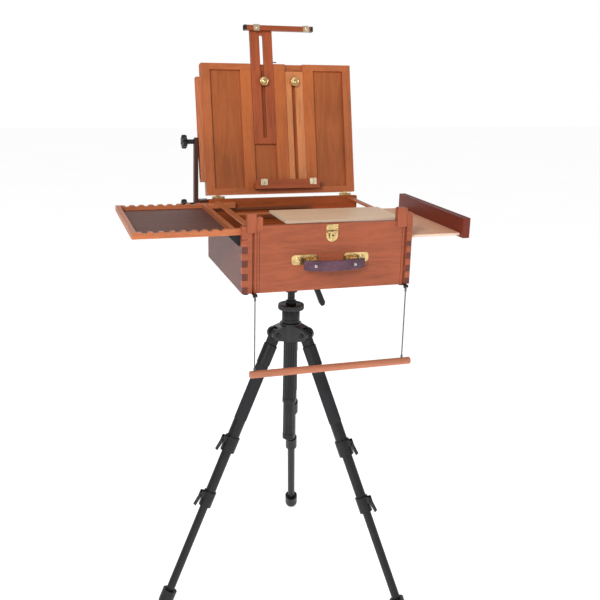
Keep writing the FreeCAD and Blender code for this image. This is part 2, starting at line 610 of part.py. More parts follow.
def tray_pieces():
    outer = -HALF_WIDTH - LEFT_TRAY_OUT
    inner = -HALF_WIDTH + LEFT_TRAY_INSIDE
    inner_end = -HALF_WIDTH - 20.0
    half = INNER_Y - GAP
    between = half - TRAY_RAIL_WIDTH
    frame = [scalloped_rail(outer, inner, y0, y1) for y0, y1 in ((-half, -between), (between, half))]
    top = LEFT_TRAY_Z + TRAY_RAIL_HEIGHT
    for x in (outer, inner_end):
        frame.append(block(x, x + TRAY_END_RAIL, -between, between, LEFT_TRAY_Z, top))
    save("left_tray_frame", group(frame))
    floor = block(outer + TRAY_END_RAIL, inner_end, -between, between, LEFT_TRAY_Z, LEFT_TRAY_Z + 3)
    save("left_tray_floor", floor)

    fence_in = HALF_WIDTH + RIGHT_TRAY_OUT - FENCE_THICK
    board = block(60, fence_in, -half, half, RIGHT_TRAY_Z, RIGHT_TRAY_Z + RIGHT_TRAY_BOARD)
    save("right_tray_board", board)
    fence = block(fence_in, fence_in + FENCE_THICK, -HALF_DEPTH, HALF_DEPTH, RIGHT_TRAY_Z - 4.5, BOX_TOP)
    save("right_tray_fence", rounded(fence, 1.5, 1))
    save("palette", rounded(block(*PALETTE, *PALETTE_Z), 3, 2))


# ---- towel bar -------------------------------------------------------------------------
def towel_pieces():
    wires = {"towel_wire_left": WIRE_X[0], "towel_wire_right": WIRE_X[1]}
    for name, x in wires.items():
        save(name, rod((x, TOWEL_Y, TOWEL_BAR_Z), (0, 0, 1), WIRE_LENGTH, WIRE_RADIUS))
    axis_z = TOWEL_BAR_Z - TOWEL_BAR_RADIUS
    start, end = TOWEL_BAR_ENDS
    bar = rod((start, TOWEL_Y, axis_z), (1, 0, 0), end - start, TOWEL_BAR_RADIUS)
    for x in WIRE_X:
        flat = block(x - 3, x + 3, TOWEL_Y - 3, TOWEL_Y + 3, axis_z, TOWEL_BAR_Z)
        bar = bar.fuse(flat)
    save("towel_bar", bar.removeSplitter())


# ---- tripod --------------------------------------------------------------------------------
def on_leg(shape, azimuth):
    """Move a piece drawn along -Z from a pivot at the origin onto one leg.

    The drawing's +X is the leg's outward direction and +Y is its hinge axis.
    """
    splay = Rotation(Vector(0, 1, 0), -LEG_SPLAY)
    turn = Rotation(Vector(0, 0, 1), azimuth)
    angle = math.radians(azimuth)
    pivot = Vector(TRIPOD_X + PIVOT_RADIUS * math.cos(angle), PIVOT_RADIUS * math.sin(angle), PIVOT_Z)
    result = shape.copy()
    result.Placement = Placement(pivot, turn.multiply(splay)).multiply(result.Placement)
    return result


def leg_tube(start, end, radius):
    return tube((0, 0, -start), (0, 0, -1), end - start, radius, radius - TUBE_WALL)


def leg_clamp(end, tube_radius, bore):
    """The clamp collar at the end of a tube, with lugs for the flip lever."""
    low = -end - 10
    collar = rod((0, 0, low), (0, 0, 1), CLAMP_LENGTH, tube_radius + 3.5)
    lug = block(tube_radius, tube_radius + 12, -7, 7, low + 22, low + 38)
    shape = joined([collar, lug])
    shape = shape.cut(rod((0, 0, -end), (0, 0, 1), CLAMP_LENGTH, tube_radius))
    shape = shape.cut(rod((0, 0, low - 1), (0, 0, 1), 12, bore))
    slot = block(tube_radius + 4, tube_radius + 20, -4.3, 4.3, low - 1, low + 41)
    pin_hole = rod((tube_radius + 9, -8, low + LEVER_PIN), (0, 1, 0), 16, 1.55)
    return shape.cut(slot).cut(pin_hole)


def flip_lever(end, tube_radius):
    """The lever of one clamp, pointing down along the leg when it is locked."""
    low = -end - 10
    x = tube_radius + 9
    pin = rod((x, -7, low + LEVER_PIN), (0, 1, 0), 14, 1.5)
    hub = rod((x, -4, low + LEVER_PIN), (0, 1, 0), 8, 3.6)
    handle = prism([(x - 2.5, -4, low + 28), (x + 3.6, -4, low + LEVER_PIN), (x + 9, -4, low - 2),
                    (x + 5, -4, low - 4)], (0, 8, 0))
    return joined([pin, hub, handle])


def leg_pieces():
    upper, middle, lower = TUBE_RADII
    for name, azimuth in LEG_AZIMUTHS.items():
        tongue = joined([rod((0, -9, 0), (0, 1, 0), 18, 12), block(-12, 12, -9, 9, -32, 0)])
        start, end = CASTING
        plug = rod((0, 0, -start - 14), (0, 0, 1), 14, CASTING_RADIUS)
        casting = tube((0, 0, -start), (0, 0, -1), end - start, CASTING_RADIUS, upper - TUBE_WALL)
        hole = rod((0, -12, 0), (0, 1, 0), 24, 4.05)
        top = joined([tongue, plug, casting, leg_tube(40, UPPER_END, upper)]).cut(hole)
        top = joined([top, leg_clamp(UPPER_END, upper, middle + GAP)])
        save("leg_%s_upper" % name, on_leg(top, azimuth))

        mid = joined([leg_tube(MIDDLE_START, MIDDLE_END, middle),
                      leg_clamp(MIDDLE_END, middle, lower + GAP)])
        save("leg_%s_middle" % name, on_leg(mid, azimuth))

        foot = joined([rod((0, 0, -LEG_LENGTH), (0, 0, 1), 30, FOOT_RADIUS),
                       Part.makeSphere(FOOT_RADIUS, Vector(0, 0, -LEG_LENGTH))])
        low = joined([leg_tube(LOWER_START, LEG_LENGTH - 10, lower), foot])
        save("leg_%s_lower" % name, on_leg(low, azimuth))

        save("leg_%s_upper_lever" % name, on_leg(flip_lever(UPPER_END, upper), azimuth))
        save("leg_%s_middle_lever" % name, on_leg(flip_lever(MIDDLE_END, middle), azimuth))


def hub_arm():
    """One forked arm of the hub, drawn along +X from the tripod's axis."""
    low, high = HUB_Z
    outline = [(18, -HUB_ARM, low + 1), (18, -HUB_ARM, high - 2),
               (PIVOT_RADIUS, -HUB_ARM, PIVOT_Z + BOSS_RADIUS), (PIVOT_RADIUS, -HUB_ARM, PIVOT_Z - BOSS_RADIUS)]
    boss = rod((PIVOT_RADIUS, -HUB_ARM, PIVOT_Z), (0, 1, 0), 2 * HUB_ARM, BOSS_RADIUS)
    return joined([prism(outline, (0, 2 * HUB_ARM, 0)), boss])


def leg_bolt():
    """The bolt through one fork, with a head at each end."""
    shaft = rod((PIVOT_RADIUS, -HUB_ARM, PIVOT_Z), (0, 1, 0), 2 * HUB_ARM, 4)
    heads = [rod((PIVOT_RADIUS, y, PIVOT_Z), (0, 1, 0), 3, 5.5) for y in (-HUB_ARM - 3, HUB_ARM)]
    return joined([shaft] + heads)


def hub_pieces():
    axis = (TRIPOD_X, 0)
    low, high = HUB_Z
    hub = rod((*axis, low), (0, 0, 1), high - low, HUB_RADIUS)
    bolts = []
    for azimuth in LEG_AZIMUTHS.values():
        hub = hub.fuse(placed(hub_arm(), (*axis, 0), (0, 0, 1), azimuth))
        bolts.append(placed(leg_bolt(), (*axis, 0), (0, 0, 1), azimuth))
    for azimuth, bolt in zip(LEG_AZIMUTHS.values(), bolts):
        gap = block(28, 70, -HUB_FORK, HUB_FORK, low - 8, PIVOT_Z + BOSS_RADIUS + 1)
        hub = hub.cut(placed(gap, (*axis, 0), (0, 0, 1), azimuth)).cut(bolt)
    hub = hub.removeSplitter().cut(rod((*axis, low - 8), (0, 0, 1), 60, COLUMN_RADIUS + GAP))
    save("tripod_hub", hub)
    save("leg_bolts", group(bolts))


def column_pieces():
    axis = (TRIPOD_X, 0)
    head_foot = HUB_Z[1] + GAP
    head = rod((*axis, head_foot), (0, 0, 1), HEAD_TOP_Z - head_foot, HEAD_RADIUS)
    shaft = rod((*axis, COLUMN_STEP_Z), (0, 0, 1), head_foot + 5 - COLUMN_STEP_Z, COLUMN_RADIUS)
    tail = rod((*axis, COLUMN_FOOT_Z), (0, 0, 1), COLUMN_STEP_Z + 5 - COLUMN_FOOT_Z, COLUMN_TAIL_RADIUS)
    spigot = rod((*axis, HEAD_TOP_Z - 5), (0, 0, 1), 28.3, SPIGOT_RADIUS)
    socket = rod((*axis, STEM_FOOT_Z - 2), (0, 0, 1), 20, STEM_RADIUS + GAP)
    save("centre_column", joined([head, shaft, tail, spigot]).cut(socket))

    rim = rod((*axis, DISC_Z), (0, 0, 1), DISC_THICK, DISC_RADIUS)
    save("lock_disc", rim.cut(rod((*axis, DISC_Z - 7), (0, 0, 1), 40, SPIGOT_RADIUS + GAP)))


def pan_lever():
    """The bent lever that locks the box on its stem, with its screw along +X."""
    screw = rod((TRIPOD_X + 13, 0, PAN_LEVER_Z), (1, 0, 0), 14, 4)
    knuckle = rod((TRIPOD_X + 22 + GAP, 0, PAN_LEVER_Z), (1, 0, 0), 10, 9)
    outline = [(24, -7), (32, 8), (60, 8), (73, -9), (88, -44), (86, -52), (79, -54), (74, -48),
               (61, -15), (54, -7)]
    points = [(TRIPOD_X + x, -5, PAN_LEVER_Z + z) for x, z in outline]
    return joined([screw, knuckle, prism(points, (0, 10, 0))])


def main():
    os.makedirs("parts", exist_ok=True)
    box_pieces()
    latch_pieces()
    handle_pieces()
    lid_pieces()
    hinge_pieces()
    mast_pieces()
    ledge_pieces()
    save("mast_knob", brass_knob(MAST_X))
    save("ledge_knob", brass_knob(KNOB_SLIDE_X))
    strut_pieces()
    tray_pieces()
    towel_pieces()
    leg_pieces()
    hub_pieces()
    column_pieces()
    save("pan_lever", pan_lever())


main()
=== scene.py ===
"""Looks of the box easel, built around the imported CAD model.

Positions repeat the CAD drawing, in millimetres: +X is the painter's right, the
painter stands on the -Y side, and the box is centred on x = y = 0. at() moves them
to the row frame, in metres. Lid pieces are drawn on the upright lid, with the
hinge axis at the origin, and LID leans them back.
"""
import math

import bmesh
import bpy
from mathutils import Matrix, Vector


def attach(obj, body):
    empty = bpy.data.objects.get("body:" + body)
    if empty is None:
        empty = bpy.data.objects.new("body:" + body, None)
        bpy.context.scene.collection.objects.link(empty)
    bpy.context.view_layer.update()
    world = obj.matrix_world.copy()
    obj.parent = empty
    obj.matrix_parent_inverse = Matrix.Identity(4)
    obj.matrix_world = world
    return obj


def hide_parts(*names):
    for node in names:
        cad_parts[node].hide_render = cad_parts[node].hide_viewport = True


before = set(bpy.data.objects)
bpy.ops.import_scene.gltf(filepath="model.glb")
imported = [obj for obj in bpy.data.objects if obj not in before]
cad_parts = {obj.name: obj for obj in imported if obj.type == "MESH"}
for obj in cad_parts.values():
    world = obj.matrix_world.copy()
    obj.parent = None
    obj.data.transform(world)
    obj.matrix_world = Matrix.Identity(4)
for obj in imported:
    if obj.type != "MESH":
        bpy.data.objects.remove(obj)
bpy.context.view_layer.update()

# ---- dimensions repeated from the CAD drawing, in millimetres ------------------------------------
CENTRE = (-42.5, 31.486)
FRONT = -182.5
HINGE = (0.0, 186.8, 998.0)
HINGE_SCREWS = (172.0, 10.0)     # the hinges' middles, and the screws' places on each side
LID_TILT = 12.6
STILE_INNER = 178.0              # from the middle of the lid to the stiles
MAST_FACE = -2.3
KNOB_HEIGHT = 292.0
KNOB_X = {"mast_knob": -40.5, "ledge_knob": 41.0}
MAST_TOP = 431.5
CLIP_X = (-55.0, 77.0)
HOLDER = (-87.0, 96.0)
HOLDER_CAP = 7.0
HOLDER_TALL = 12.5
LEDGE_BACK = -2.8
LATCH = (5.0, 978.0)
HANDLE = (3.0, -191.5, 917.0)
HANDLE_DROOP = 3.0
PIN_SPREAD = 47.0
PLATE_SPREAD = 61.0
DOME_SPREAD = 76.0
STRAP = {"bow": 24.0, "end": 7.0, "half": 71.0, "thick": 4.5, "tall": 25.0, "rise": 3.5, "shift": 4.0}
STRUT_PIN = (-257.1, 143.0, 11.0)    # x, up the lid, and behind it
LOWER_KNOB = (-267.0, 185.5, 982.0)
WIRE_X = (-172.5, 187.5)
WIRE_TOP = 840.1
WIRE_FOOT = 667.7
WIRE_RADIUS = 1.5
TOWEL_Y = -191.5
TOWEL_BAR = (-184.0, 209.0, 8.5)
FEET = (187.0, 164.0)
BOX_BOTTOM = 846.0
TRIPOD_X = -30.0
LEGS = {"left": -169.4, "right": -49.4, "rear": 70.6}
LEG_SPLAY = 24.1
PIVOT = (42.4, 688.5)            # from the tripod's axis, and above the floor


# ---- placing -------------------------------------------------------------------------------------
def mm(x, y, z):
    return Vector((x, y, z)) / 1000


def at(x, y, z):
    """A point of the CAD drawing in the row frame."""
    return mm(x - CENTRE[0], y - CENTRE[1], z)


def turn(axis, degrees):
    return Matrix.Rotation(math.radians(degrees), 4, axis)


def place(x, y, z):
    return Matrix.Translation(at(x, y, z))


def shift(x, y, z):
    return Matrix.Translation(mm(x, y, z))


LID = place(*HINGE) @ turn("X", -LID_TILT)
TO_FRONT = turn("X", 90)         # a lathe's +Z then points at the painter
TO_BACK = turn("X", -90)
TO_RIGHT = turn("Y", 90)


def on_leg(azimuth):
    """Drawn along -Z from the leg's pivot, +X outward."""
    angle = math.radians(azimuth)
    pivot = (TRIPOD_X + PIVOT[0] * math.cos(angle), PIVOT[0] * math.sin(angle), PIVOT[1])
    return place(*pivot) @ turn("Z", azimuth) @ turn("Y", -LEG_SPLAY)


# ---- meshes --------------------------------------------------------------------------------------
def piece(name, mesh, material, body, replaces=(), smooth=35):
    """One object with its place in its vertices, riding on a body."""
    bmesh.ops.recalc_face_normals(mesh, faces=mesh.faces)
    data = bpy.data.meshes.new(name)
    mesh.to_mesh(data)
    mesh.free()
    data.materials.append(material)
    data.shade_smooth()
    data.set_sharp_from_angle(angle=math.radians(smooth))
    made = bpy.data.objects.new(name, data)
    bpy.context.scene.collection.objects.link(made)
    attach(made, body)
    if replaces:
        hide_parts(*replaces)
    return made


def lathe(mesh, matrix, profile, segments=48, lobes=0, depth=0.0, closed=False):
    """Turn (radius, height[, lobed]) points about +Z; lobed points follow the lobes.

    A closed profile joins its last ring to its first; an open one gets a flat face at each end.
    """
    rings = []
    for point in profile:
        radius, height = point[0], point[1]
        lobed = len(point) > 2 and point[2]
        if radius < 1e-6:
            rings.append([mesh.verts.new(matrix @ mm(0, 0, height))])
            continue
        ring = []
        for index in range(segments):
            angle = 2 * math.pi * index / segments
            reach = radius
            if lobed:
                reach *= 1 - depth * (0.5 - 0.5 * math.cos(lobes * angle))
            spot = mm(reach * math.cos(angle), reach * math.sin(angle), height)
            ring.append(mesh.verts.new(matrix @ spot))
        rings.append(ring)
    pairs = list(zip(rings, rings[1:]))
    if closed:
        pairs.append((rings[-1], rings[0]))
    for lower, upper in pairs:
        for index in range(segments):
            following = (index + 1) % segments
            corners = [lower[index % len(lower)], lower[following % len(lower)],
                       upper[following % len(upper)], upper[index % len(upper)]]
            corners = list(dict.fromkeys(corners))
            if len(corners) > 2:
                mesh.faces.new(corners)
    if closed:
        return
    for ring in (rings[0], rings[-1]):
        if len(ring) > 2:
            mesh.faces.new(ring)


def plate(mesh, matrix, outline, low, high, edge=0.5, steps=2):
    """A plate over a closed outline in XY, from low to high in Z, with rounded edges."""
    part = bmesh.new()
    bottom = [part.verts.new(mm(x, y, low)) for x, y in outline]
    top = [part.verts.new(mm(x, y, high)) for x, y in outline]
    part.faces.new(bottom[::-1])
    part.faces.new(top)
    count = len(outline)
    for index in range(count):
        following = (index + 1) % count
        part.faces.new([bottom[index], bottom[following], top[following], top[index]])
    sharp = [line for line in part.edges if line.calc_face_angle(0) > math.radians(40)]
    bmesh.ops.bevel(part, geom=sharp, offset=edge / 1000, segments=steps, profile=0.5,
                    affect="EDGES", clamp_overlap=True)
    merge(mesh, part, matrix)


def merge(mesh, part, matrix):
    """Add a copy of one mesh to another."""
    part.transform(matrix)
    data = bpy.data.meshes.new("part")
    part.to_mesh(data)
    part.free()
    mesh.from_mesh(data)
    bpy.data.meshes.remove(data)


def rounded_rectangle(width, height, radius, corner_steps=6):
    points = []
    for sign_x, sign_y, start in ((1, 1, 0), (-1, 1, 90), (-1, -1, 180), (1, -1, 270)):
        for step in range(corner_steps + 1):
            angle = math.radians(start + 90 * step / corner_steps)
            points.append((sign_x * (width / 2 - radius) + radius * math.cos(angle),
                           sign_y * (height / 2 - radius) + radius * math.sin(angle)))
    return points


def bar(mesh, matrix, size, centre, edge=0.6, steps=2):
    """A block with rounded edges."""
    half_x, half_y = size[0] / 2, size[1] / 2
    outline = [(half_x, half_y), (-half_x, half_y), (-half_x, -half_y), (half_x, -half_y)]
    plate(mesh, matrix @ shift(*centre), outline, -size[2] / 2, size[2] / 2, edge, steps)


def screw_head(mesh, matrix, radius, height):
    """A domed screw head with a cross recess, standing on z = 0."""
    lathe(mesh, matrix, [(radius, 0), (radius, height * 0.25), (radius * 0.82, height * 0.7),
                         (radius * 0.5, height * 0.93), (radius * 0.34, height),
                         (radius * 0.3, height * 0.55), (0, height * 0.5)], 24)


# ---- materials -----------------------------------------------------------------------------------
def srgb(red, green, blue):
    """Linear colour of an 8-bit sRGB colour."""
    linear = []
    for value in (red, green, blue):
        share = value / 255
        linear.append(share / 12.92 if share <= 0.04045 else ((share + 0.055) / 1.055) ** 2.4)
    return (*linear, 1.0)


def scaled(colour, factor):
    return (*[min(1.0, channel * factor) for channel in colour[:3]], 1.0)


def add(tree, kind, inputs=None, **settings):
    """A shader node; each input is a value or another node's output."""
    node = tree.nodes.new("ShaderNode" + kind)
    for name, value in settings.items():
        setattr(node, name, value)
    for key, value in (inputs or {}).items():
        if isinstance(value, bpy.types.NodeSocket):
            tree.links.new(value, node.inputs[key])
        else:
            node.inputs[key].default_value = value
    return node


def calculate(tree, operation, first, second=0.0, clamp=False):
    return add(tree, "Math", {0: first, 1: second}, operation=operation, use_clamp=clamp).outputs[0]


def ramp(tree, factor, stops):
    """A colour ramp through (place, colour) stops."""
    node = add(tree, "ValToRGB", {"Fac": factor})
    elements = node.color_ramp.elements
    while len(elements) < len(stops):
        elements.new(0.5)
    for element, (position, colour) in zip(elements, stops):
        element.position = position
        element.color = colour
    return node.outputs["Color"]


def spread(tree, value, low, high, to_low, to_high):
    return add(tree, "MapRange", {"Value": value, "From Min": low, "From Max": high,
                                  "To Min": to_low, "To Max": to_high}).outputs["Result"]


def blend_colours(tree, factor, first, second, mode="MIX"):
    node = add(tree, "Mix", {"Factor": factor}, data_type="RGBA", blend_type=mode)
    for socket, value in ((node.inputs[6], first), (node.inputs[7], second)):
        if isinstance(value, bpy.types.NodeSocket):
            tree.links.new(value, socket)
        else:
            socket.default_value = value
    return node.outputs[2]


def noise(tree, coords, scale, detail=3.0, roughness=0.5, distortion=0.0):
    return add(tree, "TexNoise", {"Vector": coords, "Scale": scale, "Detail": detail,
                                  "Roughness": roughness, "Distortion": distortion}).outputs["Fac"]


def stretched(tree, coords, scale, offset=(0.0, 0.0, 0.0)):
    return add(tree, "Mapping", {"Vector": coords, "Location": offset, "Scale": scale}).outputs[0]


def surface(name, metallic=0.0, specular=0.5, coat=0.0, coat_roughness=0.2):
    """A new material's node tree and shader."""
    material = bpy.data.materials.new(name)
    material.use_nodes = True
    tree = material.node_tree
    shader = tree.nodes["Principled BSDF"]
    shader.inputs["Metallic"].default_value = metallic
    shader.inputs["Specular IOR Level"].default_value = specular
    shader.inputs["Coat Weight"].default_value = coat
    shader.inputs["Coat Roughness"].default_value = coat_roughness
    return material, tree, shader


def raise_bumps(tree, shader, height, strength, distance):
    bump = add(tree, "Bump", {"Height": height, "Strength": strength, "Distance": distance})
    tree.links.new(bump.outputs[0], shader.inputs["Normal"])


def object_coords(tree, on_lid=False):
    """Object coordinates, or the upright lid's own coordinates from the hinge axis."""
    coords = add(tree, "TexCoord").outputs["Object"]
    if not on_lid:
        return coords
    hinge = at(*HINGE)
    turned = add(tree, "VectorRotate", {"Vector": coords, "Center": hinge,
                                        "Angle": math.radians(LID_TILT)}, rotation_type="X_AXIS")
    return add(tree, "VectorMath", {0: turned.outputs[0], 1: hinge}, operation="SUBTRACT").outputs[0]


ALONG = {"X": (1.0, 11.0, 11.0), "Y": (11.0, 1.0, 11.0), "Z": (11.0, 11.0, 1.0)}


def grain(tree, coords, along, seed, figure):
    """Growth lines, fibres and pores along one axis: a tone, the fibres and the pores."""
    growth = stretched(tree, coords, ALONG[along], (seed, seed * 0.7, seed * 1.3))
    field = noise(tree, growth, 1.6, 3.0, 0.55, 0.5)
    lines = calculate(tree, "SINE", calculate(tree, "MULTIPLY", field, 46.0 * figure))
    fine = [1600.0 if factor > 1 else 45.0 for factor in ALONG[along]]
    fibres = noise(tree, stretched(tree, coords, fine), 0.5, 4.0, 0.65)
    pore_scale = [2600.0 if factor > 1 else 90.0 for factor in ALONG[along]]
    pores = noise(tree, stretched(tree, coords, pore_scale, (seed, 0, seed)), 0.45, 1.0, 0.4)
    patches = noise(tree, coords, 7.0, 3.0, 0.5)
    tone = calculate(tree, "ADD", 0.5, calculate(tree, "MULTIPLY", lines, 0.07))
    for field, share in ((fibres, 0.55), (patches, 0.6)):
        centred = calculate(tree, "SUBTRACT", field, 0.5)
        tone = calculate(tree, "ADD", tone, calculate(tree, "MULTIPLY", centred, share))
    return tone, fibres, pores


def ply_edges(tree, coords, look, colour):
    """Pale, layered edges on a plywood board that lies flat."""
    height = add(tree, "SeparateXYZ", {0: coords}).outputs["Z"]
    layer = calculate(tree, "SINE", calculate(tree, "MULTIPLY", height, 2 * math.pi / 0.0024))
    facing = add(tree, "SeparateXYZ", {0: add(tree, "NewGeometry").outputs["True Normal"]}).outputs["Z"]
    edge = calculate(tree, "LESS_THAN", calculate(tree, "ABSOLUTE", facing), 0.5)
    look = blend_colours(tree, calculate(tree, "MULTIPLY", edge, 0.7), look, srgb(236, 220, 200))
    strength = calculate(tree, "MULTIPLY", edge, spread(tree, layer, 0.2, 0.7, 0.0, 0.14))
    return blend_colours(tree, strength, look, scaled(colour, 0.5))


def rubbed_and_sheen_corners(tree, coords, look, colour):
    """Lighter varnish at the corners: partly rubbed wear, partly a painted sheen where light catches the
    rounded edges.
    """
    corner = add(tree, "Bevel", {"Radius": 0.0014}, samples=4).outputs[0]
    flat = add(tree, "NewGeometry").outputs["Normal"]
    turned = add(tree, "VectorMath", {0: corner, 1: flat}, operation="DOT_PRODUCT").outputs["Value"]
    wear_and_sheen = spread(tree, turned, 0.99, 0.86, 0.0, 0.42)
    uneven = spread(tree, noise(tree, coords, 60.0, 2.0), 0.35, 0.6, 0.3, 1.0)
    # Painted sheen and wear: the rounded corners are lightened towards 1.6 times the colour.
    return blend_colours(tree, calculate(tree, "MULTIPLY", wear_and_sheen, uneven), look, scaled(colour, 1.6))


def wood(name, colour, along="X", seed=0.0, on_lid=False, roughness=0.42, coat=0.07, figure=1.0,
         contrast=1.0, zone=None, zone_along=None, zone_shade=1.0, ply=False):
    """Satin-varnished wood. zone(tree, coords) marks where the grain changes, or where the wood is darkened
    as painted shade.
    """
    material, tree, shader = surface(name, specular=0.3, coat=coat, coat_roughness=0.3)
    coords = object_coords(tree, on_lid)
    tone, fibres, pores = grain(tree, coords, along, seed, figure)
    mark = zone(tree, coords) if zone else None
    if zone_along:
        other = grain(tree, coords, zone_along, seed + 3.7, figure)
        merged = []
        for first, second in zip((tone, fibres, pores), other):
            merged.append(add(tree, "Mix", {"Factor": mark, 2: first, 3: second}).outputs[0])
        tone, fibres, pores = merged
    dark = scaled(colour, 1 - 0.36 * contrast)
    light = scaled(colour, 1 + 0.26 * contrast)
    look = ramp(tree, tone, [(0.22, dark), (0.5, colour), (0.82, light)])
    # Painted shade: the marked zone is darkened by the given factor.
    if mark is not None and zone_shade != 1.0:
        zone_shaded = blend_colours(tree, 1.0, look, (zone_shade, zone_shade, zone_shade, 1.0), "MULTIPLY")
        look = blend_colours(tree, mark, look, zone_shaded)
    if ply:
        look = ply_edges(tree, coords, look, colour)
    pore_mask = spread(tree, pores, 0.6, 0.72, 0.0, 0.4 * contrast)
    look = blend_colours(tree, pore_mask, look, scaled(colour, 0.35))
    # Corners lightened, partly as wear and partly as a painted sheen.
    look = rubbed_and_sheen_corners(tree, coords, look, colour)
    tree.links.new(look, shader.inputs["Base Color"])
    rough = spread(tree, fibres, 0.3, 0.7, roughness - 0.06, roughness + 0.12)
    tree.links.new(rough, shader.inputs["Roughness"])
    relief = calculate(tree, "SUBTRACT", fibres, calculate(tree, "MULTIPLY", pore_mask, 0.8))
    raise_bumps(tree, shader, relief, 0.22, 0.0002)
    return material


def metal(name, colour, roughness=0.25, scratches=0.12, dull=0.6):
    """Polished metal with faint scratches and tarnish."""
    material, tree, shader = surface(name, metallic=1.0)
    coords = object_coords(tree)
    stains = noise(tree, coords, 90.0, 4.0, 0.6)
    marks = noise(tree, stretched(tree, coords, (3000.0, 400.0, 900.0)), 0.6, 3.0, 0.7)
    look = ramp(tree, stains, [(0.3, scaled(colour, dull)), (0.55, colour), (0.8, scaled(colour, 1.15))])
    tree.links.new(look, shader.inputs["Base Color"])
    rough = calculate(tree, "ADD", spread(tree, stains, 0.3, 0.7, roughness + 0.08, roughness - 0.04),
                      calculate(tree, "MULTIPLY", marks, scratches))
    tree.links.new(rough, shader.inputs["Roughness"])
    raise_bumps(tree, shader, marks, 0.08, 0.0001)
    return material


def moulded(name, colour, roughness=0.5, grain_scale=1800.0, depth=0.35, specular=0.5, metallic=0.0):
    """Moulded plastic, rubber, foam or coated metal with a fine texture."""
    material, tree, shader = surface(name, metallic=metallic, specular=specular)
    coords = object_coords(tree)
    texture = noise(tree, coords, grain_scale, 2.0, 0.6)
    dust = noise(tree, coords, 35.0, 4.0, 0.6)
    look = ramp(tree, dust, [(0.3, scaled(colour, 0.8)), (0.55, colour), (0.85, scaled(colour, 1.5))])
    tree.links.new(look, shader.inputs["Base Color"])
    rough = spread(tree, dust, 0.3, 0.75, roughness - 0.05, roughness + 0.12)
    tree.links.new(rough, shader.inputs["Roughness"])
    raise_bumps(tree, shader, texture, depth, 0.0003)
    return material


def tube_finish(name, colour):
    """Black anodised tube with faint drawing lines along it."""
    material, tree, shader = surface(name, metallic=0.55, specular=0.5)
    coords = object_coords(tree)
    lines = noise(tree, stretched(tree, coords, (900.0, 900.0, 25.0)), 0.8, 2.0, 0.5)
    dust = noise(tree, coords, 28.0, 4.0, 0.6)
    look = ramp(tree, dust, [(0.3, scaled(colour, 0.8)), (0.6, colour), (0.9, scaled(colour, 1.6))])
    tree.links.new(look, shader.inputs["Base Color"])
    tree.links.new(spread(tree, lines, 0.3, 0.7, 0.32, 0.5), shader.inputs["Roughness"])
    raise_bumps(tree, shader, lines, 0.1, 0.0001)
    return material


def leather_finish(name, colour):
    """Soft grained leather with painted shade in the creases, and rubbed high spots."""
    material, tree, shader = surface(name, specular=0.45)
    coords = object_coords(tree)
    cells = add(tree, "TexVoronoi", {"Vector": coords, "Scale": 620.0, "Randomness": 1.0},
                feature="DISTANCE_TO_EDGE").outputs["Distance"]
    rubbed = noise(tree, coords, 55.0, 4.0, 0.6)
    creases = spread(tree, cells, 0.0, 0.22, 0.0, 1.0)
    look = ramp(tree, rubbed, [(0.3, scaled(colour, 0.6)), (0.52, colour), (0.8, scaled(colour, 1.7))])
    # Painted shade: the grain's creases are darkened towards 0.35 of the colour.
    look = blend_colours(tree, spread(tree, creases, 0.0, 1.0, 0.5, 0.0), look, scaled(colour, 0.35))
    tree.links.new(look, shader.inputs["Base Color"])
    tree.links.new(spread(tree, rubbed, 0.3, 0.7, 0.62, 0.42), shader.inputs["Roughness"])
    raise_bumps(tree, shader, creases, 0.4, 0.0003)
    return material


# Places on the lid's own coordinates where the grain changes, or where painted shade darkens the wood.
def lid_stiles(tree, coords):
    """1 on the two stiles, 0 on the rails."""
    across = calculate(tree, "ABSOLUTE", add(tree, "SeparateXYZ", {0: coords}).outputs["X"])
    return calculate(tree, "GREATER_THAN", across, STILE_INNER / 1000)


def lid_panel_face(tree, coords):
    """1 on the recessed panel, which is darkened as painted shade in the recess; 0 on the guides in front of
    it.
    """
    depth = add(tree, "SeparateXYZ", {0: coords}).outputs["Y"]
    return calculate(tree, "GREATER_THAN", depth, 0.0079)


def shaded_below_rim(tree, coords):
    """1 on the runners inside the box, which are darkened there as painted shade; 0 on the flat strips of its
    rim.
    """
    height = add(tree, "SeparateXYZ", {0: coords}).outputs["Z"]
    return calculate(tree, "LESS_THAN", height, 0.989)


def tray_ends(tree, coords):
    """1 on the side rails that run along X, 0 on the end rails."""
    across = add(tree, "SeparateXYZ", {0: coords}).outputs["Y"]
    middle = calculate(tree, "ABSOLUTE", calculate(tree, "ADD", across, 0.0315))
    return calculate(tree, "GREATER_THAN", middle, 0.1570)


COLOURS = {
    "front": srgb(161, 84, 54),
    "rear": srgb(160, 78, 36),
    # The side boards take a darker copy of the box wood: painted shade on faces turned away from the light.
    "side": srgb(106, 54, 42),
    "panel": srgb(174, 94, 46),
    "stile": srgb(184, 102, 56),
    "mast": srgb(168, 82, 44),
    "slide": srgb(212, 134, 82),
    "rail": srgb(194, 112, 70),
    "floor": srgb(106, 66, 56),
    "dark": srgb(74, 36, 24),
    "fence": srgb(116, 42, 24),
    "palette": srgb(248, 212, 176),
    "wing": srgb(236, 178, 142),
    "towel": srgb(192, 120, 90),
    "inside": srgb(118, 56, 24),
}

